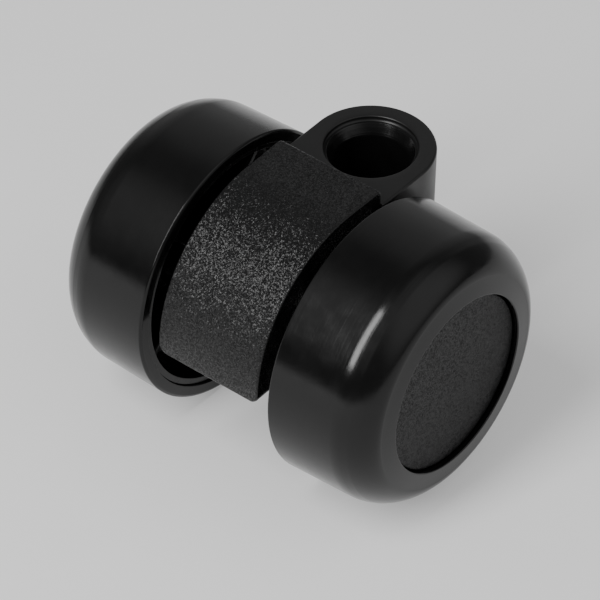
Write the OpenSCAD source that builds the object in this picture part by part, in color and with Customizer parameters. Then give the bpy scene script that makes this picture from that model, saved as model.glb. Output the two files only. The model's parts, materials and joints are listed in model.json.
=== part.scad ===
// Twin-wheel hooded chair caster, in millimetres.
// Origin: centre of the stem socket's mouth, on the deck. +Z runs up the swivel
// axis, +X points ahead of the wheels, and +Y runs along the axle to the left wheel.

/* [Wheels] */
// Diameter at the inner edge of the tread
wheel_d = 50; // [48:0.5:52]
// Diameter where the outer shoulder begins
wheel_shoulder_d = 49.2; // [47:0.1:49.6]
// Distance between the two wheels' inner faces
wheel_gap = 27.2; // [26.5:0.1:29]
// Overall width across both wheels
overall_width = 67.8; // [67.5:0.1:70]
// Thickness of the tread shell
tread_wall = 2.2; // [1.8:0.1:2.6]
// Diameter of the hub cap's recess
recess_d = 32.6; // [31:0.1:34]
// Depth of the hub cap below the recess's rim
recess_depth = 1; // [0.5:0.1:1.5]
// Stiffening ribs inside each wheel
rib_count = 4; // [3:1:6]

/* [Hood] */
// Outside diameter of the hood, concentric with the axle
hood_d = 47.6; // [46:0.1:48.4]
// Width of the hood across the caster
hood_width = 21.4; // [18:0.1:23]
// Wall thickness of the hood
hood_wall = 2.4; // [1.6:0.1:3]
// Length of the flat top ahead of the axle
hood_flat = 8.6; // [6:0.1:10]
// Depth of the front lip and of the flange along each side
hood_lip = 6; // [4:0.1:7]
// Angle that the rear edge reaches below the axle
hood_drop_angle = 3; // [0:1:20]

/* [Body] */
// Horizontal distance from the swivel axis to the axle
swivel_offset = 19.2; // [18.5:0.1:22]
// Height of the deck above the axle
deck_height = 20.8; // [20.3:0.1:21.5]
// Diameter of the full-round boss around the stem socket
boss_d = 22.2; // [21:0.1:24]
// Depth of the boss below the deck
boss_depth = 30; // [28:0.5:34]
// Thickness of the central web
web_wall = 5; // [4:0.5:6]

/* [Stem socket] */
// Diameter of the counterbore for the stem's collar
collar_d = 16; // [15.8:0.1:16.4]
// Depth of the counterbore
collar_depth = 1; // [0.5:0.1:2]
// Depth below the deck where the bush's conical lead-in meets the bore
lead_in_depth = 3; // [2:0.1:4]
// Diameter of the stem's bore
stem_d = 13; // [12.6:0.1:13.4]

/* [Axle] */
// Diameter of the axle pin
axle_d = 8; // [7.5:0.1:8.5]
// Length of the axle pin
axle_length = 60.4; // [60:0.1:61]

/* [Hidden] */
$fn = 96;

LEFT = 1;
RIGHT = -1;
eps = 0.01;
press_gap = 0.02;
running_gap = 0.05;
face_gap = 0.1;

// Stations along the axle, measured outwards from the caster's mid-plane
inner_face = wheel_gap / 2;
rim_lip = overall_width / 2;
shoulder_end = rim_lip - 0.5;
shoulder_length = 5.9;
shoulder_start = shoulder_end - shoulder_length;
cap_face = rim_lip - recess_depth;
cap_wall = 1.6;
cap_back = cap_face - cap_wall;
core_face = inner_face + 0.5;
disc_wall = 3;
disc_outer = 27;
disc_inner = disc_outer - disc_wall;
rib_height = 4;

// Wheel radii
tread_r = wheel_d / 2;
shoulder_r = wheel_shoulder_d / 2;
shoulder_fall = 5.1;
shoulder_power = 1.75;
shoulder_cut = 18;
shoulder_steps = 14;
edge_chamfer = 0.5;
tread_inner_r = tread_r - tread_wall;
core_outer_r = tread_inner_r - running_gap;
core_wall = 1.2;
core_inner_r = core_outer_r - core_wall;
recess_r = recess_d / 2;
cap_r = recess_r - 0.15;
snap_ring_r = 13.9;
snap_ring_wall = 1.4;
hub_r = 8.2;

// Axle hardware
axle_r = axle_d / 2;
axle_chamfer = 0.8;
bush_outer_r = axle_r + 1.6;
axle_boss_r = 7;
axle_boss_end = 12;
washer_wall = 0.8;
washer_r = 6.8;
washer_bore_r = axle_r + 0.1;
inner_washer_at = axle_boss_end + face_gap;
hub_start = inner_washer_at + washer_wall + face_gap;
outer_washer_at = disc_outer + face_gap;
push_nut_at = outer_washer_at + washer_wall + face_gap;
push_nut_r = 7.6;
push_nut_wall = 0.6;
push_nut_dish = 0.7;
push_nut_slots = 6;

// Hood and body
hood_r = hood_d / 2;
hood_inner_r = hood_r - hood_wall;
hood_lip_bottom = hood_r - hood_lip;
hood_flange_wall = 1.8;
hood_fence_wall = 1.4;
hood_fence_depth = 3;
boss_r = boss_d / 2;
boss_neck_r = boss_r - 0.9;
boss_block_depth = 15;
web_r = hood_inner_r - face_gap;
web_front = hood_flat - hood_wall - face_gap;

// Stem socket
collar_r = collar_d / 2;
stem_r = stem_d / 2;
seat_r = collar_r - 0.4;
lead_in_r = seat_r - 0.1;
bush_bottom = -27;
ring_groove_top = -21.4;
ring_wire_r = 0.45;
ring_groove_height = 1.1;
ring_groove_r = stem_r + 0.6;
ring_r = stem_r + 0.1;
ring_gap_angle = 35;

// The outer shoulder is a superellipse from the tread to the outer face. It leaves the
// tread at a faint crease, because the first few degrees of the quadrant are cut off.
function bent(value) = pow(value, 2 / shoulder_power);
function shoulder_in(turn) = bent(cos(turn)) / bent(cos(shoulder_cut));
function shoulder_out(turn) = 1 - (1 - bent(sin(turn))) / (1 - bent(sin(shoulder_cut)));
function shoulder_point(turn) = [
    shoulder_r - shoulder_fall * (1 - shoulder_in(turn)),
    shoulder_start + shoulder_length * shoulder_out(turn)
];

// Places a child built on the axle line, with Z as the distance from the mid-plane
module on_axle(side) {
    translate([-swivel_offset, 0, -deck_height])
        rotate([-90 * side, 0, 0])
            children();
}

// Extrudes a side view (X forward, Y up, centred on the axle) across the caster
module across(width) {
    translate([-swivel_offset, 0, -deck_height])
        rotate([90, 0, 0])
            linear_extrude(height = width, center = true)
                children();
}

module ring(outer, bore, height) {
    difference() {
        cylinder(r = outer, h = height);
        translate([0, 0, -eps])
            cylinder(r = bore, h = height + 2 * eps);
    }
}

// Side view of a plate that is round at the back and flat on top
module hood_side_view(radius, front) {
    difference() {
        union() {
            circle(r = radius);
            square([front, radius]);
        }
        translate([0, -2 * radius])
            square([3 * radius, 2 * radius]);
        translate([front, -radius])
            square([3 * radius, 3 * radius]);
    }
}

module below_rear_edge() {
    rotate(hood_drop_angle)
        translate([-3 * hood_r, -4 * hood_r])
            square([4 * hood_r, 4 * hood_r]);
}

module hood_outline(radius, front) {
    difference() {
        hood_side_view(radius, front);
        below_rear_edge();
    }
}

// Side view of a rib on the underside of the hood, from its skin inwards
module hood_rib(depth) {
    difference() {
        hood_outline(hood_inner_r + eps, hood_flat - hood_wall + eps);
        hood_side_view(hood_inner_r - depth, 2 * hood_r);
    }
}

module hood() {
    fence_at = web_wall / 2 + face_gap + hood_fence_wall / 2;
    flange_at = (hood_width - hood_flange_wall) / 2;
    color([0.10, 0.10, 0.105]) {
        across(hood_width)
            difference() {
                hood_outline(hood_r, hood_flat);
                hood_side_view(hood_inner_r, hood_flat - hood_wall);
                square([hood_r, hood_lip_bottom]);
            }
        for (side = [LEFT, RIGHT]) {
            // A deeper flange closes each side
            translate([0, side * flange_at, 0])
                across(hood_flange_wall)
                    hood_rib(hood_lip - hood_wall);
            // Two curved fences straddle the central web
            translate([0, side * fence_at, 0])
                across(hood_fence_wall)
                    difference() {
                        hood_rib(hood_fence_depth);
                        translate([0, -hood_r])
                            square([2 * hood_r, 3 * hood_r]);
                    }
        }
    }
}

// Half round in front, square behind, cut off flat at the hood
module boss_plan(radius, rear_reach) {
    intersection() {
        union() {
            circle(r = radius);
            translate([-radius, -radius])
                square([radius, 2 * radius]);
        }
        translate([-rear_reach, -radius])
            square([rear_reach + radius, 2 * radius]);
    }
}

module boss() {
    rear_reach = swivel_offset - hood_flat - face_gap;
    translate([0, 0, -boss_block_depth])
        linear_extrude(height = boss_block_depth)
            boss_plan(boss_r, rear_reach);
    translate([0, 0, -boss_depth])
        cylinder(r = boss_neck_r, h = boss_depth);
}

module web() {
    across(web_wall) {
        hood_outline(web_r, web_front);
        circle(r = axle_boss_r);
        translate([0, -axle_boss_r])
            square([swivel_offset - collar_r, axle_boss_r + hood_lip_bottom - face_gap]);
    }
}

module stem_socket() {
    translate([0, 0, -collar_depth])
        cylinder(r = collar_r, h = collar_depth + 1);
    translate([0, 0, bush_bottom])
        cylinder(r = seat_r, h = -bush_bottom);
}

module axle_boss() {
    for (side = [LEFT, RIGHT])
        on_axle(side)
            cylinder(r = axle_boss_r, h = axle_boss_end);
}

module axle_hole() {
    for (side = [LEFT, RIGHT])
        on_axle(side)
            translate([0, 0, -eps])
                cylinder(r = axle_r + press_gap, h = axle_boss_end + 1);
}

module housing() {
    color([0.13, 0.135, 0.135])
        difference() {
            union() {
                boss();
                web();
                axle_boss();
            }
            stem_socket();
            axle_hole();
        }
}

module stem_bush() {
    color([0.07, 0.07, 0.075])
        difference() {
            translate([0, 0, bush_bottom + face_gap])
                cylinder(r = seat_r - press_gap, h = -bush_bottom - face_gap - collar_depth);
            translate([0, 0, bush_bottom])
                cylinder(r = stem_r, h = -bush_bottom + 1);
            translate([0, 0, ring_groove_top - ring_groove_height])
                cylinder(r = ring_groove_r, h = ring_groove_height);
            rotate_extrude()
                polygon([
                    [0, -lead_in_depth],
                    [stem_r, -lead_in_depth],
                    [lead_in_r, -collar_depth],
                    [lead_in_r, 0],
                    [0, 0]
                ]);
        }
}

module stem_retaining_ring() {
    color([0.6, 0.61, 0.62])
        translate([0, 0, ring_groove_top - ring_groove_height / 2])
            rotate([0, 0, ring_gap_angle / 2])
                rotate_extrude(angle = 360 - ring_gap_angle)
                    translate([ring_r, 0])
                        circle(r = ring_wire_r, $fn = 24);
}

module axle() {
    half = axle_length / 2;
    color([0.72, 0.73, 0.74])
        translate([-swivel_offset, 0, -deck_height])
            rotate([90, 0, 0])
                rotate_extrude()
                    polygon([
                        [0, -half],
                        [axle_r - axle_chamfer, -half],
                        [axle_r, -half + axle_chamfer],
                        [axle_r, half - axle_chamfer],
                        [axle_r - axle_chamfer, half],
                        [0, half]
                    ]);
}

module washer(side, at) {
    color([0.66, 0.67, 0.68])
        on_axle(side)
            translate([0, 0, at])
                ring(washer_r, washer_bore_r, washer_wall);
}

// Dished spring-steel nut, slotted so that its teeth grip the axle
module push_nut(side) {
    grip_r = axle_r + press_gap;
    slot_w = 1;
    slot_r = 5.6;
    color([0.55, 0.56, 0.58])
        on_axle(side)
            translate([0, 0, push_nut_at])
                difference() {
                    rotate_extrude()
                        polygon([
                            [grip_r, push_nut_dish],
                            [slot_r, 0],
                            [push_nut_r, 0],
                            [push_nut_r, push_nut_wall],
                            [slot_r, push_nut_wall],
                            [grip_r, push_nut_dish + push_nut_wall]
                        ]);
                    for (i = [0 : push_nut_slots - 1])
                        rotate([0, 0, i * 360 / push_nut_slots])
                            translate([0, -slot_w / 2, -1])
                                cube([slot_r, slot_w, 4]);
                }
}

module tread(side) {
    shoulder_turn = (90 - shoulder_cut) / shoulder_steps;
    color([0.05, 0.05, 0.055])
        on_axle(side)
            rotate_extrude()
                polygon(concat(
                    [
                        [tread_inner_r, inner_face],
                        [tread_r - edge_chamfer, inner_face],
                        [tread_r, inner_face + edge_chamfer / 2]
                    ],
                    [for (i = [0 : shoulder_steps]) shoulder_point(shoulder_cut + i * shoulder_turn)],
                    [
                        [recess_r, rim_lip],
                        [recess_r, disc_outer + face_gap],
                        [tread_inner_r, disc_outer + face_gap]
                    ]
                ));
}

module wheel_core(side) {
    rib_wall = 1.6;
    rib_reach = core_inner_r - hub_r + 0.4;
    color([0.09, 0.09, 0.095])
        on_axle(side)
            difference() {
                union() {
                    translate([0, 0, core_face])
                        ring(core_outer_r, core_inner_r, disc_outer - core_face);
                    translate([0, 0, disc_inner])
                        cylinder(r = core_outer_r - 0.2, h = disc_wall);
                    translate([0, 0, hub_start])
                        cylinder(r = hub_r, h = disc_outer - hub_start);
                    translate([0, 0, disc_outer - eps])
                        ring(snap_ring_r, snap_ring_r - snap_ring_wall, cap_back - disc_outer - face_gap);
                    for (i = [0 : rib_count - 1])
                        rotate([0, 0, (i + 0.5) * 360 / rib_count])
                            translate([hub_r - 0.2, -rib_wall / 2, disc_inner - rib_height])
                                cube([rib_reach, rib_wall, rib_height + 1]);
                }
                translate([0, 0, hub_start - 1])
                    cylinder(r = bush_outer_r, h = disc_outer - hub_start + 2);
            }
}

module hub_bush(side) {
    color([0.85, 0.84, 0.80])
        on_axle(side)
            translate([0, 0, hub_start])
                ring(bush_outer_r - press_gap, axle_r + running_gap, disc_outer - hub_start);
}

module hub_cap(side) {
    skirt_wall = 1.2;
    skirt_bore = snap_ring_r + running_gap;
    color([0.12, 0.12, 0.125])
        on_axle(side) {
            translate([0, 0, cap_back])
                cylinder(r = cap_r, h = cap_wall);
            translate([0, 0, disc_outer + 2 * face_gap])
                ring(skirt_bore + skirt_wall, skirt_bore, cap_back - disc_outer - face_gap);
        }
}

housing();
hood();
stem_bush();
stem_retaining_ring();
axle();
washer(LEFT, inner_washer_at);  // left_inner_washer
washer(LEFT, outer_washer_at);  // left_outer_washer
push_nut(LEFT);  // left_push_nut
tread(LEFT);  // left_tread
wheel_core(LEFT);  // left_wheel_core
hub_bush(LEFT);  // left_hub_bush
hub_cap(LEFT);  // left_hub_cap
washer(RIGHT, inner_washer_at);  // right_inner_washer
washer(RIGHT, outer_washer_at);  // right_outer_washer
push_nut(RIGHT);  // right_push_nut
tread(RIGHT);  // right_tread
wheel_core(RIGHT);  // right_wheel_core
hub_bush(RIGHT);  // right_hub_bush
hub_cap(RIGHT);  // right_hub_cap
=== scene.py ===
"""Twin-wheel hooded chair caster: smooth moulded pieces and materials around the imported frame."""
import json
from math import atan2, ceil, cos, hypot, pi, radians, sin, sqrt, tan

import bmesh
import bpy
from mathutils import Matrix, Vector


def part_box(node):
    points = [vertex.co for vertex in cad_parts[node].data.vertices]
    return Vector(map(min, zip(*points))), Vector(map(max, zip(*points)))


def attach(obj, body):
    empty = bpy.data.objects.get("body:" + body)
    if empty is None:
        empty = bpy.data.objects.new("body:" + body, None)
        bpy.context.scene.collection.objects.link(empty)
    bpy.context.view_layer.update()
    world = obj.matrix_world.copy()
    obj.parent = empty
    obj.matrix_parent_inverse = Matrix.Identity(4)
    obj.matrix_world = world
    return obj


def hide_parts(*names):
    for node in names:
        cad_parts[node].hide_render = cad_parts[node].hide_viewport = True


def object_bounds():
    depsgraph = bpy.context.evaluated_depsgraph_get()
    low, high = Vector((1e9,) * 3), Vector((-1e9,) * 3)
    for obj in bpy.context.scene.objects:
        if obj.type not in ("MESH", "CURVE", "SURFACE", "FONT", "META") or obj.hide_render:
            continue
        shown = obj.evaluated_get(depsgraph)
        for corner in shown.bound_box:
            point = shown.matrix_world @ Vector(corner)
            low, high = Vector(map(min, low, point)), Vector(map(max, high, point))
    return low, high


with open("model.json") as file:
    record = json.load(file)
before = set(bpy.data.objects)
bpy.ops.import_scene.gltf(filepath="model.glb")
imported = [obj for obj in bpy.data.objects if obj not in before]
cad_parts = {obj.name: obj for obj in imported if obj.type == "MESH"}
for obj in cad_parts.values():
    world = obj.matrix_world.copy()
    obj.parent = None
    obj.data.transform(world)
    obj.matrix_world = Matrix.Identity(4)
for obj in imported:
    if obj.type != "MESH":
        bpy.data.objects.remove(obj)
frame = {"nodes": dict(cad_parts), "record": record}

CAD_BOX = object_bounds()
MM = 0.001

# ---------------------------------------------------------------- driving sizes, in millimetres
LEFT, RIGHT = 1, -1
SIDES = {"left": LEFT, "right": RIGHT}

axle_low, axle_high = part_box("axle")
AXLE_X = (axle_low[0] + axle_high[0]) / 2 / MM
AXLE_Z = (axle_low[2] + axle_high[2]) / 2 / MM
AXLE_R = 4.0
AXLE_BOSS_R = 7.0
AXLE_BOSS_END = 12.0
FACE_GAP = 0.1
PRESS_GAP = 0.02

TREAD_R = 25.0
SHOULDER_R = 24.6
TREAD_INNER_R = 22.8
EDGE_CHAMFER = 0.5
INNER_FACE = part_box("left_tread")[0][1] / MM
RIM_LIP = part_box("left_tread")[1][1] / MM
RIM_LIP_RISE = 0.5
SHOULDER_END = RIM_LIP - RIM_LIP_RISE
SHOULDER_LENGTH = 5.9
SHOULDER_FALL = 5.1
SHOULDER_POWER = 1.75
SHOULDER_CUT = 18
CREASE_R = 7.0
CREASE_ROUNDING = 1.9
RECESS_R = 16.3
DISC_OUTER = 27.0
DISC_INNER = 24.0
TREAD_BACK = DISC_OUTER + FACE_GAP

CORE_INSET = 0.5
CORE_FACE = INNER_FACE + CORE_INSET
CORE_OUTER_R = 22.75
CORE_INNER_R = 21.55
SNAP_RING_R = 13.9
SNAP_RING_WALL = 1.4
HUB_R = 8.2
HUB_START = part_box("left_hub_bush")[0][1] / MM
HUB_BORE_R = 5.6
RIB_COUNT = 4
RIB_WALL = 1.6
RIB_HEIGHT = 4.0

CAP_INSET = 1.0
CAP_WALL = 1.6
CAP_FACE = RIM_LIP - CAP_INSET
CAP_BACK = CAP_FACE - CAP_WALL
CAP_R = 16.15
CAP_SKIRT_BORE = SNAP_RING_R + 0.05
CAP_SKIRT_WALL = 1.2

HOOD_R = 23.8
HOOD_WALL = 2.4
HOOD_HALF = 10.7
HOOD_FLAT = 8.6
HOOD_LIP = 6.0
HOOD_DROP = 3.0
HOOD_FLANGE = 1.8
HOOD_EDGE = 0.4
HOOD_FILLET = 0.5
HOOD_REAR_CORNER = 2.0
HOOD_FRONT_BEND = 0.6
HOOD_INNER_BEND = 0.5
HOOD_FLANGE_STOP = 0.4

BOSS_R = 11.1
BOSS_BLOCK = 15.0
BOSS_DEPTH = 30.0
BOSS_NECK_R = 10.2
BOSS_DRAFT = 0.35
BOSS_REACH = -AXLE_X - HOOD_FLAT - FACE_GAP
COLLAR_R = 8.0
COLLAR_DEPTH = 1.0
LEAD_IN_DEPTH = 3.0
LEAD_IN_R = 7.5
STEM_R = 6.5
RING_GROOVE_TOP = 21.4
RING_GROOVE_HEIGHT = 1.1
RING_GROOVE_R = 7.1
SEAT_R = 7.6
SOCKET_BOTTOM = 27.0
WEB_HALF = 2.5


# ---------------------------------------------------------------- outlines
def arc(centre, radius, start, end, steps):
    """Points on an arc, with the angles in degrees."""
    points = []
    for i in range(steps + 1):
        turn = radians(start + (end - start) * i / steps)
        points.append((centre[0] + radius * cos(turn), centre[1] + radius * sin(turn)))
    return points


def rounded(corners, steps=5):
    """A closed outline through corners (x, y, radius), each rounded by an arc of its radius."""
    points = []
    count = len(corners)
    for i, (x, y, radius) in enumerate(corners):
        if radius == 0:
            points.append((x, y))
            continue
        corner = Vector((x, y))
        before = (Vector(corners[i - 1][:2]) - corner).normalized()
        after = (Vector(corners[(i + 1) % count][:2]) - corner).normalized()
        half = before.angle(after) / 2
        reach = radius / tan(half)
        centre = corner + (before + after).normalized() * (radius / sin(half))
        first = corner + before * reach - centre
        last = corner + after * reach - centre
        start = atan2(first.y, first.x)
        sweep = (atan2(last.y, last.x) - start + pi) % (2 * pi) - pi
        for step in range(steps + 1):
            turn = start + sweep * step / steps
            points.append((centre.x + radius * cos(turn), centre.y + radius * sin(turn)))
    return points


def divided(points, longest):
    """The closed outline with every span cut so that none is longer than given."""
    result = []
    for i, point in enumerate(points):
        after = points[(i + 1) % len(points)]
        spans = max(1, ceil(hypot(after[0] - point[0], after[1] - point[1]) / longest))
        for step in range(spans):
            share = step / spans
            result.append(tuple(a + (b - a) * share for a, b in zip(point, after)))
    return result


# ---------------------------------------------------------------- mesh helpers
def finish_mesh(name, verts, faces, body, nodes):
    """Makes a smooth object, from points in millimetres, that stands for CAD nodes."""
    mesh = bpy.data.meshes.new(name)
    mesh.from_pydata([tuple(c * MM for c in v) for v in verts], [], faces)
    mesh.validate()
    mesh.update()
    piece = bpy.data.objects.new(name, mesh)
    bpy.context.scene.collection.objects.link(piece)
    outward_normals(mesh)
    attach(piece, body)
    if nodes:
        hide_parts(*nodes)
    return piece


def outward_normals(mesh):
    """Merges doubled points, turns the faces outwards and shades them smooth."""
    work = bmesh.new()
    work.from_mesh(mesh)
    bmesh.ops.remove_doubles(work, verts=work.verts, dist=1e-7)
    bmesh.ops.recalc_face_normals(work, faces=work.faces)
    for face in work.faces:
        face.smooth = True
    work.to_mesh(mesh)
    work.free()


def weighted_shading(piece):
    """Keeps broad flat faces flat beside their rounded edges."""
    modifier = piece.modifiers.new("face_weights", "WEIGHTED_NORMAL")
    modifier.mode = "FACE_AREA"
    modifier.weight = 60
    modifier.keep_sharp = True


def skin(rings, closed=False, caps=True):
    """Faces between equal rings of points; caps close both ends."""
    size = len(rings[0])
    verts = [v for ring in rings for v in ring]
    faces = []
    pairs = len(rings) if closed else len(rings) - 1
    for i in range(pairs):
        this = i * size
        that = ((i + 1) % len(rings)) * size
        for j in range(size):
            k = (j + 1) % size
            faces.append((this + j, this + k, that + k, that + j))
    if caps and not closed:
        faces.append(tuple(range(size)))
        last = (len(rings) - 1) * size
        faces.append(tuple(last + j for j in reversed(range(size))))
    return verts, faces


def joined(parts):
    """One list of points and faces from several."""
    verts, faces = [], []
    for part_verts, part_faces in parts:
        offset = len(verts)
        verts += part_verts
        faces += [tuple(offset + i for i in face) for face in part_faces]
    return verts, faces


def wheel_point(side, radius, station, turn):
    """A point at a radius and angle round the axle, a distance out from the mid-plane."""
    return (AXLE_X + radius * cos(turn), side * station, AXLE_Z + radius * sin(turn))


def lathe(outline, side, segments):
    """Turns a closed outline of (radius, station) round the axle."""
    rings = []
    for radius, station in outline:
        rings.append([wheel_point(side, radius, station, 2 * pi * i / segments) for i in range(segments)])
    return skin(rings, closed=True)


def disc_lathe(outline, side, segments):
    """Turns an open outline of (radius, station), closed by a flat disc at each end."""
    rings = []
    for radius, station in outline:
        rings.append([wheel_point(side, radius, station, 2 * pi * i / segments) for i in range(segments)])
    return skin(rings)


def unite(piece, others):
    """Joins other solids to a piece by a boolean union and removes them."""
    for other in others:
        modifier = piece.modifiers.new("union", "BOOLEAN")
        modifier.operation = "UNION"
        modifier.solver = "EXACT"
        modifier.object = other
        graph = bpy.context.evaluated_depsgraph_get()
        mesh = bpy.data.meshes.new_from_object(piece.evaluated_get(graph))
        piece.modifiers.clear()
        old = piece.data
        piece.data = mesh
        bpy.data.meshes.remove(old)
        bpy.data.objects.remove(other)


def plain_solid(verts, faces):
    """A loose solid for a union, not a piece of its own."""
    mesh = bpy.data.meshes.new("tool")
    mesh.from_pydata([tuple(c * MM for c in v) for v in verts], [], faces)
    outward_normals(mesh)
    solid = bpy.data.objects.new("tool", mesh)
    bpy.context.scene.collection.objects.link(solid)
    return solid


# ---------------------------------------------------------------- material helpers
class Nodes:
    """A material's node tree with short ways to add and link nodes."""

    def __init__(self, name):
        self.material = bpy.data.materials.new(name)
        self.material.use_nodes = True
        self.tree = self.material.node_tree
        self.shader = self.tree.nodes["Principled BSDF"]
        self.place = self.add("ShaderNodeTexCoord").outputs["Object"]

    def add(self, kind, **values):
        node = self.tree.nodes.new(kind)
        for key, value in values.items():
            if key in node.inputs:
                node.inputs[key].default_value = value
            else:
                setattr(node, key, value)
        return node

    def link(self, output, target):
        self.tree.links.new(output, target)

    def noise(self, scale, detail=2.0, roughness=0.5, stretch=None):
        place = self.place
        if stretch:
            mapping = self.add("ShaderNodeMapping")
            mapping.inputs["Scale"].default_value = stretch
            self.link(place, mapping.inputs["Vector"])
            place = mapping.outputs["Vector"]
        node = self.add("ShaderNodeTexNoise")
        node.inputs["Scale"].default_value = scale
        node.inputs["Detail"].default_value = detail
        node.inputs["Roughness"].default_value = roughness
        self.link(place, node.inputs["Vector"])
        return node.outputs["Fac"]

    def facets(self, scale, tilt, plain_sides):
        """The surface normal, tipped a random way in each small cell but not on sides that face along Y."""
        cell = self.add("ShaderNodeTexVoronoi")
        cell.inputs["Scale"].default_value = scale
        self.link(self.place, cell.inputs["Vector"])
        centred = self.add("ShaderNodeVectorMath")
        centred.operation = "MULTIPLY_ADD"
        centred.inputs[1].default_value = (tilt, tilt, tilt)
        centred.inputs[2].default_value = (-tilt / 2, -tilt / 2, -tilt / 2)
        self.link(cell.outputs["Color"], centred.inputs[0])
        normal = self.add("ShaderNodeNewGeometry").outputs["Normal"]
        tip = centred.outputs["Vector"]
        if plain_sides:
            parts = self.add("ShaderNodeSeparateXYZ")
            self.link(normal, parts.inputs[0])
            across = self.add("ShaderNodeMath")
            across.operation = "ABSOLUTE"
            self.link(parts.outputs["Y"], across.inputs[0])
            faded = self.add("ShaderNodeVectorMath")
            faded.operation = "SCALE"
            self.link(tip, faded.inputs[0])
            self.link(self.spread(across.outputs["Value"], 1.0, 0.1, 0.3, 0.8), faded.inputs["Scale"])
            tip = faded.outputs["Vector"]
        tipped = self.add("ShaderNodeVectorMath")
        self.link(normal, tipped.inputs[0])
        self.link(tip, tipped.inputs[1])
        unit = self.add("ShaderNodeVectorMath")
        unit.operation = "NORMALIZE"
        self.link(tipped.outputs["Vector"], unit.inputs[0])
        return unit.outputs["Vector"]

    def spread(self, value, low, high, start=0.3, end=0.7):
        node = self.add("ShaderNodeMapRange")
        node.inputs["From Min"].default_value = start
        node.inputs["From Max"].default_value = end
        node.inputs["To Min"].default_value = low
        node.inputs["To Max"].default_value = high
        self.link(value, node.inputs["Value"])
        return node.outputs["Result"]

    def ramp(self, value, dark, light):
        node = self.add("ShaderNodeValToRGB")
        node.color_ramp.elements[0].position = 0.3
        node.color_ramp.elements[1].position = 0.7
        node.color_ramp.elements[0].color = (*dark, 1)
        node.color_ramp.elements[1].color = (*light, 1)
        self.link(value, node.inputs["Fac"])
        return node.outputs["Color"]

    def bump(self, height, distance, strength=1.0, before=None):
        node = self.add("ShaderNodeBump")
        node.inputs["Strength"].default_value = strength
        node.inputs["Distance"].default_value = distance
        self.link(height, node.inputs["Height"])
        if before is not None:
            self.link(before, node.inputs["Normal"])
        return node.outputs["Normal"]

    def sockets(self, **values):
        for key, value in values.items():
            name = key.replace("_", " ")
            self.shader.inputs[name].default_value = value


def tone(value, tint=(1.0, 1.0, 1.0)):
    return tuple(value * t for t in tint)


def grained_plastic(name, shade, grain, depth, tilt, rough, ior, plain_sides=False):
    """Moulded plastic with a spark-eroded grain of the given cell size, in metres."""
    nodes = Nodes(name)
    cloud = nodes.noise(0.25 / grain, detail=3.0)
    colour = nodes.ramp(cloud, tone(shade * 0.8), tone(shade * 1.25, (1, 1, 1.04)))
    nodes.link(colour, nodes.shader.inputs["Base Color"])
    fine = nodes.noise(1.0 / grain, detail=3.0, roughness=0.6)
    first = nodes.facets(1.0 / grain, tilt, plain_sides)
    nodes.link(nodes.spread(fine, rough - 0.07, rough + 0.07), nodes.shader.inputs["Roughness"])
    nodes.link(nodes.bump(fine, depth, 1.0, first), nodes.shader.inputs["Normal"])
    nodes.sockets(IOR=ior)
    return nodes.material


def gloss_plastic(name, shade, rough, lines, depth, ior):
    """Polished moulding with faint tool rings, a number of lines along each axis, and a slight waviness."""
    nodes = Nodes(name)
    cloud = nodes.noise(160, detail=3.0)
    nodes.link(nodes.ramp(cloud, tone(shade * 0.8), tone(shade * 1.2)), nodes.shader.inputs["Base Color"])
    rings = nodes.noise(1.0, detail=4.0, roughness=0.7, stretch=lines)
    scuffs = nodes.noise(420, detail=4.0)
    nodes.link(nodes.spread(scuffs, rough * 0.75, rough * 1.35), nodes.shader.inputs["Roughness"])
    wave = nodes.bump(nodes.noise(45, detail=1.0), 0.00003, 0.5)
    nodes.link(nodes.bump(rings, depth, 0.5, wave), nodes.shader.inputs["Normal"])
    nodes.sockets(IOR=ior)
    return nodes.material


def satin_plastic(name, shade, rough, ior):
    """Smooth satin moulding with a barely visible texture."""
    nodes = Nodes(name)
    cloud = nodes.noise(220, detail=4.0)
    nodes.link(nodes.ramp(cloud, tone(shade * 0.85), tone(shade * 1.15)), nodes.shader.inputs["Base Color"])
    fine = nodes.noise(2600, detail=2.0)
    nodes.link(nodes.spread(cloud, rough - 0.05, rough + 0.05), nodes.shader.inputs["Roughness"])
    nodes.link(nodes.bump(fine, 0.000006, 0.5), nodes.shader.inputs["Normal"])
    nodes.sockets(IOR=ior)
    return nodes.material


def metal(name, shade, rough, stretch):
    """Machined steel with fine lines along one axis and small stains."""
    nodes = Nodes(name)
    lines = nodes.noise(1.0, detail=4.0, stretch=stretch)
    stains = nodes.noise(350, detail=4.0)
    nodes.link(nodes.ramp(stains, tone(shade * 0.82), tone(shade)), nodes.shader.inputs["Base Color"])
    nodes.link(nodes.spread(lines, rough * 0.7, rough * 1.3), nodes.shader.inputs["Roughness"])
    nodes.link(nodes.bump(lines, 0.000004, 0.6), nodes.shader.inputs["Normal"])
    nodes.sockets(Metallic=1.0)
    return nodes.material


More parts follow.
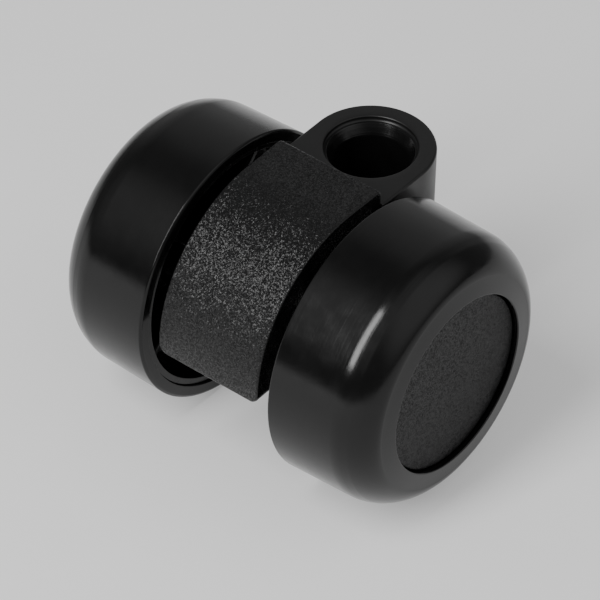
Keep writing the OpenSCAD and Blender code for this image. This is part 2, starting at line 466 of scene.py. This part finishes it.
def make_materials():
    return {
        "body_plastic": satin_plastic("body_satin", shade=0.006, rough=0.36, ior=1.40),
        "hood_plastic": grained_plastic(
            "hood_grain", shade=0.004, grain=0.00020, depth=0.00005, tilt=0.60, rough=0.24, ior=1.36,
            plain_sides=True),
        "cap_plastic": grained_plastic(
            "cap_grain", shade=0.006, grain=0.00024, depth=0.00004, tilt=0.45, rough=0.36, ior=1.22),
        "tread_plastic": gloss_plastic(
            "tread_gloss", shade=0.003, rough=0.15, lines=(12, 2600, 12), depth=0.00003, ior=1.38),
        "core_plastic": gloss_plastic(
            "core_gloss", shade=0.004, rough=0.22, lines=(12, 1200, 12), depth=0.000004, ior=1.40),
        "bush_plastic": gloss_plastic(
            "bush_gloss", shade=0.004, rough=0.17, lines=(12, 12, 1700), depth=0.00009, ior=1.50),
        "bearing_plastic": satin_plastic("bearing_acetal", shade=0.55, rough=0.38, ior=1.48),
        "axle_steel": metal("axle_ground", shade=0.60, rough=0.28, stretch=(300, 4000, 300)),
        "washer_steel": metal("washer_zinc", shade=0.55, rough=0.35, stretch=(900, 900, 900)),
        "spring_steel": metal("spring_tempered", shade=0.28, rough=0.32, stretch=(700, 700, 700)),
    }


# ---------------------------------------------------------------- wheels
def shoulder(steps):
    """The superellipse from the tread's faint outer crease to the outer face."""
    power = 2 / SHOULDER_POWER
    first = radians(SHOULDER_CUT)
    points = []
    for i in range(steps + 1):
        turn = first + (pi / 2 - first) * i / steps
        fall = SHOULDER_FALL * (1 - (max(cos(turn), 0.0) / cos(first)) ** power)
        run = SHOULDER_LENGTH * (1 - (1 - sin(turn) ** power) / (1 - sin(first) ** power))
        points.append((SHOULDER_R - fall, SHOULDER_END - SHOULDER_LENGTH + run))
    return points


def tread_outline():
    """Section of the tread: inner bore and face, crease, shoulder and the lip round the cap."""
    inner = rounded([
        (TREAD_INNER_R, TREAD_BACK, 0.2),
        (TREAD_INNER_R, INNER_FACE, 0.12),
        (TREAD_R - EDGE_CHAMFER, INNER_FACE, 0.2),
        (TREAD_R, INNER_FACE + EDGE_CHAMFER / 2, 0.3),
        (SHOULDER_R, SHOULDER_END - SHOULDER_LENGTH, 0),
    ])[:-1]
    curve = shoulder(36)
    crease = curve[0]
    curve = [p for p in curve if hypot(p[0] - crease[0], p[1] - crease[1]) > CREASE_ROUNDING]
    crease = rounded([(*inner[-1], 0), (*crease, CREASE_R), (*curve[0], 0)], steps=8)[1:-1]
    lip = rounded([
        (SHOULDER_R - SHOULDER_FALL, SHOULDER_END, 0),
        (RECESS_R, RIM_LIP, 0.22),
        (RECESS_R, TREAD_BACK, 0.2),
        (TREAD_INNER_R, TREAD_BACK, 0),
    ])[1:-1]
    return inner + crease + curve + lip


def make_tread(side_name):
    side = SIDES[side_name]
    verts, faces = lathe(divided(tread_outline(), 2.5), side, 224)
    piece = finish_mesh(side_name + "_wheel_tread", verts, faces, side_name + "_wheel",
                        [side_name + "_tread"])
    weighted_shading(piece)
    return piece


def core_outline():
    """Section of the wheel core: rim, disc, hub and the ring that holds the cap."""
    edge = 0.15
    ring_bore = SNAP_RING_R - SNAP_RING_WALL
    ring_top = CAP_BACK - FACE_GAP
    return rounded([
        (CORE_OUTER_R, CORE_FACE, edge),
        (CORE_OUTER_R, DISC_OUTER, edge),
        (SNAP_RING_R, DISC_OUTER, edge),
        (SNAP_RING_R, ring_top, edge),
        (ring_bore, ring_top, edge),
        (ring_bore, DISC_OUTER, edge),
        (HUB_BORE_R, DISC_OUTER, edge),
        (HUB_BORE_R, HUB_START, edge),
        (HUB_R, HUB_START, edge),
        (HUB_R, DISC_INNER, 1.2),
        (CORE_INNER_R, DISC_INNER, 1.2),
        (CORE_INNER_R, CORE_FACE, edge),
    ])


def rib_solid(side, turn):
    """One radial rib as a rounded bar whose ends run into the hub and the rim."""
    section = rounded([
        (-RIB_WALL / 2, DISC_INNER + 0.5, 0),
        (-RIB_WALL / 2, DISC_INNER - RIB_HEIGHT, 0.4),
        (RIB_WALL / 2, DISC_INNER - RIB_HEIGHT, 0.4),
        (RIB_WALL / 2, DISC_INNER + 0.5, 0),
    ], steps=4)
    rings = []
    for radius in (HUB_R - 0.6, CORE_INNER_R + 0.5):
        ring = []
        for across, station in section:
            x, y, z = wheel_point(side, radius, station, turn)
            ring.append((x - across * sin(turn), y, z + across * cos(turn)))
        rings.append(ring)
    return skin(rings)


def make_core(side_name):
    side = SIDES[side_name]
    verts, faces = lathe(divided(core_outline(), 3.0), side, 144)
    piece = finish_mesh(side_name + "_wheel_inner", verts, faces, side_name + "_wheel",
                        [side_name + "_wheel_core"])
    ribs = joined([rib_solid(side, 2 * pi * (i + 0.5) / RIB_COUNT) for i in range(RIB_COUNT)])
    unite(piece, [plain_solid(*ribs)])
    weighted_shading(piece)
    return piece


def make_cap(side_name):
    side = SIDES[side_name]
    skirt_r = CAP_SKIRT_BORE + CAP_SKIRT_WALL
    outline = rounded([
        (0.6, CAP_FACE, 0),
        (CAP_R, CAP_FACE, 0.3),
        (CAP_R, CAP_BACK, 0.2),
        (skirt_r, CAP_BACK, 0.2),
        (skirt_r, DISC_OUTER + 0.2, 0.25),
        (CAP_SKIRT_BORE, DISC_OUTER + 0.2, 0.25),
        (CAP_SKIRT_BORE, CAP_BACK, 0.2),
        (0.6, CAP_BACK, 0),
    ])
    rows = divided(outline, 1.6)
    back = rows.index((0.6, CAP_BACK))
    verts, faces = disc_lathe(rows[:back + 1], side, 144)
    piece = finish_mesh(side_name + "_wheel_cap", verts, faces, side_name + "_wheel",
                        [side_name + "_hub_cap"])
    weighted_shading(piece)
    return piece


# ---------------------------------------------------------------- hood
def hood_path(offset, rows):
    """Side view of the hood at a depth below its outside: rear edge, top, front lip."""
    radius = HOOD_R - offset
    front = HOOD_FLAT - offset
    bend = HOOD_FRONT_BEND if offset == 0 else HOOD_INNER_BEND
    lip_bottom = HOOD_R - HOOD_LIP
    points = arc((0, 0), radius, 180 + HOOD_DROP, 90, rows[0])
    points += [(front * i / rows[1], radius) for i in range(1, rows[1])]
    points += arc((front - bend, radius - bend), bend, 90, 0, rows[2])
    top = radius - bend
    points += [(front, top + (lip_bottom - top) * i / rows[3]) for i in range(1, rows[3] + 1)]
    return points


def hood_section(outer, inner, half, inset, flange):
    """A rounded channel section between an outer and an inner point of the side view."""
    wall = hypot(outer[0] - inner[0], outer[1] - inner[1])
    columns = 14
    corner = HOOD_EDGE
    flat = half - corner
    inside = half - HOOD_FLANGE - HOOD_FILLET
    turns = [radians(90 * i / 5) for i in range(6)]

    def point(across, depth):
        share = depth / wall
        x = outer[0] + (inner[0] - outer[0]) * share
        z = outer[1] + (inner[1] - outer[1]) * share
        return (AXLE_X + x, across, AXLE_Z + z)

    low = wall - inset
    tip = low + flange
    top = [(-flat + 2 * flat * i / columns, inset) for i in range(1, columns)]
    side = [(flat + corner * sin(t), inset + corner * (1 - cos(t))) for t in turns]
    side += [(half, inset + corner + (tip - inset - 2 * corner) * i / 4) for i in range(1, 4)]
    side += [(flat + corner * cos(t), tip - corner * (1 - sin(t))) for t in turns]
    side.append((half - HOOD_FLANGE + HOOD_FILLET * 0.6, tip))
    side.append((half - HOOD_FLANGE, tip - min(flange, HOOD_FILLET) * 0.6))
    side.append((half - HOOD_FLANGE, low + min(flange, HOOD_FILLET)))
    side.append((half - HOOD_FLANGE - 0.3 * HOOD_FILLET, low + min(flange, HOOD_FILLET) * 0.3))
    bottom = [(inside - 2 * inside * i / columns, low) for i in range(columns + 1)]
    mirrored = [(-across, depth) for across, depth in reversed(side)]
    return [point(*place) for place in top + side + bottom + mirrored]


def slid(path, distances):
    """Points along a path at distances from its start."""
    points = []
    for distance in distances:
        left = distance
        for a, b in zip(path, path[1:]):
            span = hypot(b[0] - a[0], b[1] - a[1])
            if left <= span or b is path[-1]:
                share = left / span
                points.append((a[0] + (b[0] - a[0]) * share, a[1] + (b[1] - a[1]) * share))
                break
            left -= span
    return points


def path_length(path):
    return sum(hypot(b[0] - a[0], b[1] - a[1]) for a, b in zip(path, path[1:]))


def make_hood():
    rows = (90, 10, 8, 6)
    outer = hood_path(0, rows)
    inner = hood_path(HOOD_WALL, rows)
    length = path_length(outer)
    flange_end = path_length(outer[:rows[0] + 1]) + HOOD_FLAT - HOOD_WALL - HOOD_FLANGE_STOP
    stations = [(0.0, outer[0], inner[0])]
    for i in range(1, 12):
        distance = HOOD_REAR_CORNER * (1 - cos(radians(90 * i / 12)))
        (out,) = slid(outer, [distance])
        (inn,) = slid(inner, [distance * (HOOD_R - HOOD_WALL) / HOOD_R])
        stations.append((distance, out, inn))
    run = 0.0
    for i in range(1, len(outer)):
        run += hypot(outer[i][0] - outer[i - 1][0], outer[i][1] - outer[i - 1][1])
        if run > HOOD_REAR_CORNER:
            stations.append((run, outer[i], inner[i]))
    loops = []
    for distance, out, inn in stations:
        half = HOOD_HALF
        if distance < HOOD_REAR_CORNER:
            rest = HOOD_REAR_CORNER - distance
            half -= HOOD_REAR_CORNER - sqrt(HOOD_REAR_CORNER ** 2 - rest ** 2)
        from_end = min(distance, length - distance)
        inset = 0.0
        if from_end < HOOD_EDGE:
            inset = HOOD_EDGE - sqrt(HOOD_EDGE ** 2 - (HOOD_EDGE - from_end) ** 2)
        flange = HOOD_LIP - HOOD_WALL if distance < flange_end else 0.0
        loops.append(hood_section(out, inn, half, inset, flange))
    verts, faces = skin(loops)
    piece = finish_mesh("hood_cover", verts, faces, "caster_body", ["hood"])
    weighted_shading(piece)
    return piece


# ---------------------------------------------------------------- housing
def boss_ring(radius, reach, z, count=144):
    """Plan of the boss: half round in front, square behind, as points by angle."""
    corner = atan2(radius, -reach)
    step = 2 * pi / count
    ring = []
    for i in range(count):
        turn = i * step
        if turn > pi:
            turn -= 2 * pi
        if abs(abs(turn) - corner) < step / 2:
            turn = corner if turn > 0 else -corner
        if cos(turn) >= 0:
            ring.append((radius * cos(turn), radius * sin(turn), z))
        elif abs(turn) <= corner:
            side = 1 if turn > 0 else -1
            ring.append((radius / tan(abs(turn)), side * radius, z))
        else:
            ring.append((-reach, -reach * tan(turn), z))
    return ring


def round_ring(radius, z, count=144):
    return [(radius * cos(2 * pi * i / count), radius * sin(2 * pi * i / count), z) for i in range(count)]


def boss_solid():
    """Socket boss from its round foot up to the deck and down inside the socket."""
    edge = 0.45
    mouth_edge = 0.3
    floor_r = 3.0
    steps = [radians(90 * i / 5) for i in range(6)]
    rings = [round_ring(BOSS_NECK_R - 4, -BOSS_DEPTH), round_ring(BOSS_NECK_R - edge, -BOSS_DEPTH)]
    for t in steps[1:]:
        rings.append(round_ring(BOSS_NECK_R - edge * (1 - sin(t)), -BOSS_DEPTH + edge * (1 - cos(t))))
    rings += [round_ring(BOSS_NECK_R, -BOSS_BLOCK - 0.4), round_ring(BOSS_NECK_R + 0.1, -BOSS_BLOCK)]
    low_r = BOSS_R - BOSS_DRAFT
    for t in steps:
        height = -BOSS_BLOCK + edge * (1 - cos(t))
        rings.append(boss_ring(low_r - edge * (1 - sin(t)), BOSS_REACH, height))
    for level in (0.75, 0.5, 0.25):
        rings.append(boss_ring(BOSS_R - BOSS_DRAFT * level, BOSS_REACH, -BOSS_BLOCK * level))
    rings += [boss_ring(BOSS_R - edge * (1 - cos(t)), BOSS_REACH, -edge * (1 - sin(t))) for t in steps]
    rings.append(round_ring(COLLAR_R + 1.2, 0))
    rings += [round_ring(COLLAR_R + mouth_edge * (1 - sin(t)), -mouth_edge * (1 - cos(t))) for t in steps]
    rings.append(round_ring(COLLAR_R, -COLLAR_DEPTH))
    rings += [round_ring(SEAT_R, -COLLAR_DEPTH), round_ring(SEAT_R, -SOCKET_BOTTOM)]
    rings.append(round_ring(floor_r, -SOCKET_BOTTOM))
    return skin(rings)


def make_stem_bush():
    """Sleeve with a glossy conical mouth and the groove of the retaining ring."""
    outer_r = SEAT_R - PRESS_GAP
    bottom = -SOCKET_BOTTOM + FACE_GAP
    groove_end = RING_GROOVE_TOP + RING_GROOVE_HEIGHT
    outline = rounded([
        (STEM_R, -LEAD_IN_DEPTH, 0.8),
        (LEAD_IN_R, -COLLAR_DEPTH, 0.03),
        (outer_r, -COLLAR_DEPTH, 0.03),
        (outer_r, bottom, 0.2),
        (STEM_R, bottom, 0.2),
        (STEM_R, -groove_end, 0.1),
        (RING_GROOVE_R, -groove_end, 0.1),
        (RING_GROOVE_R, -RING_GROOVE_TOP, 0.1),
        (STEM_R, -RING_GROOVE_TOP, 0.1),
    ])
    rings = [round_ring(radius, height) for radius, height in divided(outline, 1.0)]
    verts, faces = skin(rings, closed=True)
    piece = finish_mesh("socket_bush", verts, faces, "caster_body", ["stem_bush"])
    weighted_shading(piece)
    return piece


def web_solid():
    """Central plate from the hood's inside past the axle boss to the stem boss."""
    radius = HOOD_R - HOOD_WALL - FACE_GAP
    front = HOOD_FLAT - HOOD_WALL - FACE_GAP
    step_top = HOOD_R - HOOD_LIP - FACE_GAP
    boss_side = -AXLE_X - SEAT_R - 1
    outline = arc((0, 0), radius, 180 + HOOD_DROP, 90, 60)
    outline += [(front, radius), (front, step_top), (boss_side, step_top)]
    outline += [(boss_side, -AXLE_BOSS_R), (0, -AXLE_BOSS_R)]
    outline += arc((0, 0), AXLE_BOSS_R, 270, 180 + HOOD_DROP, 16)[1:]
    edge = 0.3
    rings = []
    for across, inset in ((-WEB_HALF, edge), (-WEB_HALF + edge, 0), (WEB_HALF - edge, 0), (WEB_HALF, edge)):
        shrink = 1 - inset / radius
        rings.append([(AXLE_X + x * shrink, across, AXLE_Z + z * shrink) for x, z in outline])
    return skin(rings)


def axle_boss_solid():
    outline = rounded([
        (AXLE_R + PRESS_GAP, -AXLE_BOSS_END, 0.3),
        (AXLE_BOSS_R, -AXLE_BOSS_END, 0.5),
        (AXLE_BOSS_R, AXLE_BOSS_END, 0.5),
        (AXLE_R + PRESS_GAP, AXLE_BOSS_END, 0.3),
    ])
    return lathe(divided(outline, 4.0), LEFT, 96)


def make_housing():
    verts, faces = boss_solid()
    piece = finish_mesh("housing_body", verts, faces, "caster_body", ["housing"])
    unite(piece, [plain_solid(*web_solid())])
    bore_r = AXLE_R + PRESS_GAP
    bore = plain_solid(*disc_lathe([(bore_r, -WEB_HALF - 1), (bore_r, WEB_HALF + 1)], LEFT, 96))
    cut = piece.modifiers.new("axle_hole", "BOOLEAN")
    cut.operation = "DIFFERENCE"
    cut.solver = "EXACT"
    cut.object = bore
    graph = bpy.context.evaluated_depsgraph_get()
    piece.data = bpy.data.meshes.new_from_object(piece.evaluated_get(graph))
    piece.modifiers.clear()
    bpy.data.objects.remove(bore)
    unite(piece, [plain_solid(*axle_boss_solid())])
    weighted_shading(piece)
    return piece


# ---------------------------------------------------------------- studio
def direction(azimuth, elevation):
    a, e = radians(azimuth), radians(elevation)
    return Vector((sin(a) * cos(e), -cos(a) * cos(e), sin(e)))


CENTRE = Vector((AXLE_X, 0, AXLE_Z)) * MM
FLOOR_GLOW = 0.30
ROOM_GLOW = 0.17


def add_camera():
    """A long lens from behind, above and to the right of the caster."""
    azimuth, elevation, roll = -50.35, 41.81, -0.44
    distance = 0.7805
    back = direction(azimuth, elevation)
    right = Vector((cos(radians(azimuth)), sin(radians(azimuth)), 0))
    up = back.cross(right)
    tilt = radians(roll)
    right, up = right * cos(tilt) + up * sin(tilt), up * cos(tilt) - right * sin(tilt)
    data = bpy.data.cameras.new("camera")
    data.sensor_width = 36
    data.lens = 278.7
    data.clip_start = 0.01
    camera = bpy.data.objects.new("camera", data)
    bpy.context.scene.collection.objects.link(camera)
    shift_right, shift_down = 0.00018, 0.00027
    aim = CENTRE + right * shift_right - up * shift_down
    turn = Matrix((right, up, back)).transposed().to_4x4()
    camera.matrix_world = Matrix.Translation(aim + back * distance) @ turn
    bpy.context.scene.camera = camera


def add_softbox(name, azimuth, elevation, width, height, radiance, distance=0.7):
    """A rectangular light facing the caster, set by how bright its face looks."""
    data = bpy.data.lights.new(name, "AREA")
    data.shape = "RECTANGLE"
    data.size = width
    data.size_y = height
    data.energy = radiance * pi * width * height
    light = bpy.data.objects.new(name, data)
    bpy.context.scene.collection.objects.link(light)
    away = direction(azimuth, elevation)
    light.location = CENTRE + away * distance
    light.rotation_euler = away.to_track_quat("Z", "Y").to_euler()


def add_floor():
    reach = 3.0
    mesh = bpy.data.meshes.new("floor")
    level = CAD_BOX[0][2]
    corners = [(-reach, -reach), (reach, -reach), (reach, reach), (-reach, reach)]
    mesh.from_pydata([(x, y, level) for x, y in corners], [], [(0, 1, 2, 3)])
    floor = bpy.data.objects.new("floor", mesh)
    bpy.context.scene.collection.objects.link(floor)
    nodes = Nodes("floor_white")
    cloud = nodes.noise(30)
    nodes.link(nodes.ramp(cloud, (0.62, 0.62, 0.62), (0.64, 0.64, 0.64)), nodes.shader.inputs["Base Color"])
    nodes.sockets(Roughness=0.9, Emission_Color=(1, 1, 1, 1), Emission_Strength=FLOOR_GLOW)
    mesh.materials.append(nodes.material)


def add_sky():
    """A dim room with broad soft glows, each (azimuth, elevation, core, reach, brightness)."""
    glows = [
        (12, 44, 12, 50, 0.75),
        (-140, 34, 6, 34, 0.22),
        (125, 26, 12, 42, 0.30),
        (-100, 52, 4, 42, 0.46),
    ]
    world = bpy.data.worlds.new("studio")
    bpy.context.scene.world = world
    world.use_nodes = True
    nodes, links = world.node_tree.nodes, world.node_tree.links
    place = nodes.new("ShaderNodeTexCoord").outputs["Generated"]
    total = None
    for azimuth, elevation, core, reach, brightness in glows:
        facing = nodes.new("ShaderNodeVectorMath")
        facing.operation = "DOT_PRODUCT"
        facing.inputs[1].default_value = direction(azimuth, elevation)
        links.new(place, facing.inputs[0])
        fade = nodes.new("ShaderNodeMapRange")
        fade.interpolation_type = "SMOOTHSTEP"
        fade.inputs["From Min"].default_value = cos(radians(reach))
        fade.inputs["From Max"].default_value = cos(radians(core))
        fade.inputs["To Max"].default_value = brightness
        links.new(facing.outputs["Value"], fade.inputs["Value"])
        layer = nodes.new("ShaderNodeMath")
        layer.inputs[1].default_value = ROOM_GLOW
        links.new(fade.outputs["Result"], layer.inputs[0])
        if total is not None:
            links.new(total, layer.inputs[1])
        total = layer.outputs["Value"]
    links.new(total, nodes["Background"].inputs["Strength"])
    nodes["Background"].inputs["Color"].default_value = (1, 1, 1, 1)


def add_studio():
    add_sky()
    add_softbox("strip", azimuth=-98, elevation=46, width=0.18, height=0.60, radiance=15.0)


# ---------------------------------------------------------------- assembly
def paint(materials):
    """Gives each node and piece the material of its slot."""
    slots = {part["node"]: part["material_slot"] for part in frame["record"]["subparts"]}
    for node, piece in frame["nodes"].items():
        piece.data.materials.clear()
        piece.data.materials.append(materials[slots[node]])


def build():
    materials = make_materials()
    paint(materials)
    pieces = [
        (make_housing(), "body_plastic"),
        (make_hood(), "hood_plastic"),
        (make_stem_bush(), "bush_plastic"),
    ]
    for side_name in SIDES:
        pieces.append((make_tread(side_name), "tread_plastic"))
        pieces.append((make_core(side_name), "core_plastic"))
        pieces.append((make_cap(side_name), "cap_plastic"))
    for piece, slot in pieces:
        piece.data.materials.clear()
        piece.data.materials.append(materials[slot])


build()
add_camera()
add_floor()
add_studio()
